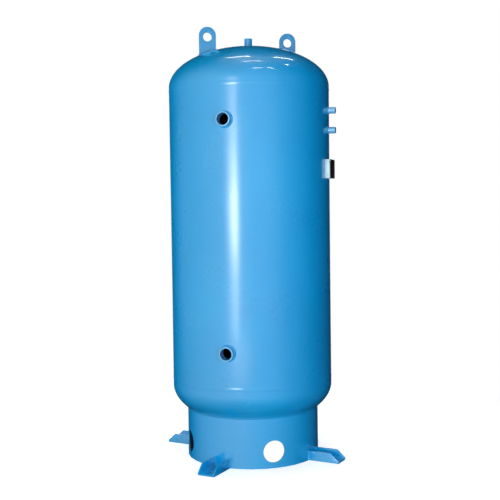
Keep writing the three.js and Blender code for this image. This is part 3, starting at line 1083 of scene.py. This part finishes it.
def build_world():
    """White to the camera, a studio to reflections, and nothing to diffuse light, which the lamps give."""
    world = bpy.data.worlds.new("studio")
    bpy.context.scene.world = world
    world.use_nodes = True
    tree = world.node_tree
    tree.nodes.clear()
    direction = node(tree, "ShaderNodeTexCoord").outputs["Generated"]
    turn = (0, 0, -math.radians(WINDOW_AZIMUTH))
    turned_to_window = node(tree, "ShaderNodeMapping", {"Vector": direction, "Rotation": turn})
    parts = node(tree, "ShaderNodeSeparateXYZ", {"Vector": turned_to_window.outputs["Vector"]})
    x, y, z = (parts.outputs[axis] for axis in "XYZ")
    azimuth = maths(tree, "DEGREES", maths(tree, "ARCTAN2", y, x))
    elevation = maths(tree, "DEGREES", maths(tree, "ARCSINE", z))

    rearward = node(tree, "ShaderNodeSeparateXYZ", {"Vector": direction}).outputs["Y"]
    back = ranged(tree, rearward, 0.93, 0.97)
    window = reflected_window(tree, azimuth, elevation)
    level = maths(tree, "MULTIPLY_ADD", reflected_wall(tree, azimuth, z), WALL_GLOW, window)
    level = maths(tree, "MULTIPLY_ADD", back, BACK_GLOW, level)
    level = maths(tree, "ADD", level, AMBIENT)

    ray = node(tree, "ShaderNodeLightPath").outputs
    level = maths(tree, "MULTIPLY", level, maths(tree, "SUBTRACT", 1.0, ray["Is Diffuse Ray"]))
    studio = node(tree, "ShaderNodeBackground", {"Color": WHITE, "Strength": level})
    backdrop = node(tree, "ShaderNodeBackground", {"Color": WHITE, "Strength": 1.0})
    shaders = {0: ray["Is Camera Ray"], 1: studio.outputs[0], 2: backdrop.outputs[0]}
    both = node(tree, "ShaderNodeMixShader", shaders)
    out = node(tree, "ShaderNodeOutputWorld")
    tree.links.new(both.outputs[0], out.inputs["Surface"])


FLOOR_REACH = 30
FLOOR_FADE = (0.7, 2.2)
FLOOR_LIFT = 0.6
FLOOR_SEEN = (0.85, 0.85, 0.85, 1)
FLOOR_LIT = (0.35, 0.35, 0.35, 1)

# Inside the skirt the floor is painted dark as shade, apart from a painted pool of white light that shows in
# the front access hole
SKIRT_SHADE_SEEN = (0.02, 0.03, 0.07, 1)
SKIRT_SHADE_LIT = (0.05, 0.07, 0.12, 1)
LIGHT_POOL = (0.12, -0.03, 0.0)
LIGHT_POOL_EDGE = (0.27, 0.25)


def floor_material():
    """A pale floor that fades into the white backdrop, with a soft shadow near the tank."""
    material = bpy.data.materials.new("floor")
    material.use_nodes = True
    tree = material.node_tree
    tree.nodes.clear()
    place = node(tree, "ShaderNodeNewGeometry").outputs["Position"]
    distance = node(tree, "ShaderNodeVectorMath", {0: place}, operation="LENGTH").outputs["Value"]
    fade = ranged(tree, distance, *FLOOR_FADE)
    inside = maths(tree, "LESS_THAN", distance, skirt_radius - WALL)
    # A painted pool of white light on the floor, which only the camera sees
    from_light_pool = node(tree, "ShaderNodeVectorMath", {0: place, 1: LIGHT_POOL}, operation="DISTANCE")
    light_pool = ranged(tree, from_light_pool.outputs["Value"], *LIGHT_POOL_EDGE)
    seen = node(tree, "ShaderNodeLightPath").outputs["Is Camera Ray"]
    share = maths(tree, "MULTIPLY", maths(tree, "MAXIMUM", fade, light_pool), seen)
    # Under the skirt the floor is painted dark as shade, both to the camera and to bounced light
    lit_colour = mixed(tree, inside, FLOOR_LIT, SKIRT_SHADE_LIT)
    seen_colour = mixed(tree, inside, FLOOR_SEEN, SKIRT_SHADE_SEEN)
    colour = mixed(tree, seen, lit_colour, seen_colour)
    matte = node(tree, "ShaderNodeBsdfDiffuse", {"Color": colour})
    outside = maths(tree, "SUBTRACT", 1.0, inside)
    lift = maths(tree, "MULTIPLY", maths(tree, "MULTIPLY", seen, outside), FLOOR_LIFT)
    glow = node(tree, "ShaderNodeEmission", {"Color": WHITE, "Strength": lift})
    base = node(tree, "ShaderNodeAddShader", {0: matte.outputs[0], 1: glow.outputs[0]})
    white = node(tree, "ShaderNodeEmission", {"Color": WHITE, "Strength": 1.0})
    both = node(tree, "ShaderNodeMixShader", {0: share, 1: base.outputs[0], 2: white.outputs[0]})
    out = node(tree, "ShaderNodeOutputMaterial")
    tree.links.new(both.outputs[0], out.inputs["Surface"])
    return material


def build_floor():
    """A pale ground that the paint doesn't mirror."""
    reach = FLOOR_REACH
    corners = [(-reach, -reach, 0), (reach, -reach, 0), (reach, reach, 0), (-reach, reach, 0)]
    mesh = bpy.data.meshes.new("floor")
    mesh.from_pydata(corners, [], [(0, 1, 2, 3)])
    mesh.materials.append(floor_material())
    floor = bpy.data.objects.new("floor", mesh)
    bpy.context.scene.collection.objects.link(floor)
    floor.visible_glossy = False


# Ceiling tubes: both ends, width and radiance
CEILING = 5.0
TUBES = (
    ((-0.82, 0.74), (0.08, 0.62), 0.06, 26),
    ((0.92, 0.99), (1.75, 1.67), 0.06, 26),
    ((-0.25, -0.50), (0.60, -0.30), 0.06, 18),
    ((0.30, -2.35), (1.00, -2.15), 0.09, 22),
    ((1.30, -1.84), (1.99, -1.94), 0.09, 25),
    ((1.85, -0.10), (2.10, 0.00), 0.12, 26),
)

# Softboxes: name, azimuth, height, radiance and how blue they are against white
SOFTBOX_REACH = 5.0
SOFTBOX_SIZE = 2.5
SOFTBOX_AIM = (0, 0, 1.1)
SOFTBOXES = (
    ("fill_front", 255, 1.3, 7.1, 0.80),
    ("fill_right", 291, 1.3, 5.0, 1.25),
    ("fill_left", 162, 1.3, 7.2, 1.18),
    ("fill_back_left", 108, 1.8, 2.6, 1.0),
    ("fill_back_right", 73, 1.8, 7.0, 1.0),
)
CEILING_FILL_HEIGHT = 5.5
CEILING_FILL = 2.8


def area_light(name, place, aim, size, radiance):
    """A rectangular light of (width, height) with a given radiance, facing aim."""
    light = bpy.data.lights.new(name, "AREA")
    light.shape = "RECTANGLE"
    light.size, light.size_y = size
    light.energy = radiance * math.pi * size[0] * size[1]
    lamp = bpy.data.objects.new(name, light)
    bpy.context.scene.collection.objects.link(lamp)
    lamp.location = place
    lamp.rotation_euler = (Vector(aim) - Vector(place)).to_track_quat("-Z", "Y").to_euler()
    lamp.visible_camera = False
    return lamp


def tube_light(name, start, end, width, radiance):
    """A ceiling tube between two points, facing down, that is only seen in reflections."""
    start, end = Vector((*start, CEILING)), Vector((*end, CEILING))
    middle, size = (start + end) / 2, ((end - start).length, width)
    lamp = area_light(name, middle, middle - UP, size, radiance)
    lamp.rotation_euler = (0, 0, azimuth_of(end - start))
    lamp.visible_diffuse = False


def soft_light(name, place, aim, radiance):
    """A softbox that gives no reflection."""
    lamp = area_light(name, place, aim, (SOFTBOX_SIZE, SOFTBOX_SIZE), radiance)
    lamp.visible_glossy = False
    return lamp


def build_lights():
    for index, (start, end, width, radiance) in enumerate(TUBES):
        tube_light(f"tube_{index}", start, end, width, radiance)
    for name, azimuth, height, radiance, blueness in SOFTBOXES:
        place = out_at(math.radians(azimuth)) * SOFTBOX_REACH + UP * height
        box = soft_light(name, place, SOFTBOX_AIM, radiance)
        box.data.color = (1, 1, blueness)
    soft_light("fill_above", (0, 0, CEILING_FILL_HEIGHT), (0, 0, 0), CEILING_FILL)


# The camera, fitted to the photo's outline. Its angles are degrees below level and about its own axis.
CAMERA_LENS = 65.0
CAMERA_SENSOR = 36
CAMERA_PLACE = Vector((-0.0047, -4.8284, 1.3498))
CAMERA_PITCH = 3.11
CAMERA_ROLL = -0.74


def build_camera():
    camera = bpy.data.cameras.new("camera")
    camera.lens = CAMERA_LENS
    camera.sensor_width = CAMERA_SENSOR
    eye = bpy.data.objects.new("camera", camera)
    bpy.context.scene.collection.objects.link(eye)
    pitch = Matrix.Rotation(math.radians(90 - CAMERA_PITCH), 4, "X")
    roll = Matrix.Rotation(math.radians(CAMERA_ROLL), 4, "Z")
    eye.matrix_world = Matrix.Translation(CAMERA_PLACE) @ pitch @ roll
    bpy.context.scene.camera = eye


def set_colour():
    """Plain display colours, so that the paint's colour is the photo's."""
    settings = bpy.context.scene.view_settings
    settings.view_transform = "Standard"
    settings.look = "None"
    bpy.context.scene.cycles.use_denoising = True


build_shell()
build_head("tank_top_head", "top_head", 1, "top_port", top_seam)
build_head("tank_bottom_head", "bottom_head", -1, "drain_coupling", bottom_seam)
build_skirt()
for foot_name, foot_azimuth in FOOT_AZIMUTHS.items():
    build_foot(foot_name, foot_azimuth)
    weld_foot(foot_name, foot_azimuth)
for lug_name in ("lifting_lug_left", "lifting_lug_right"):
    build_lug(lug_name)
    weld_lug(lug_name)
build_radial_sockets()
build_axial_sockets()
build_seams()
build_bracket()
build_plate()
build_fields()
build_rivets()
build_world()
build_floor()
build_lights()
build_camera()
set_colour()
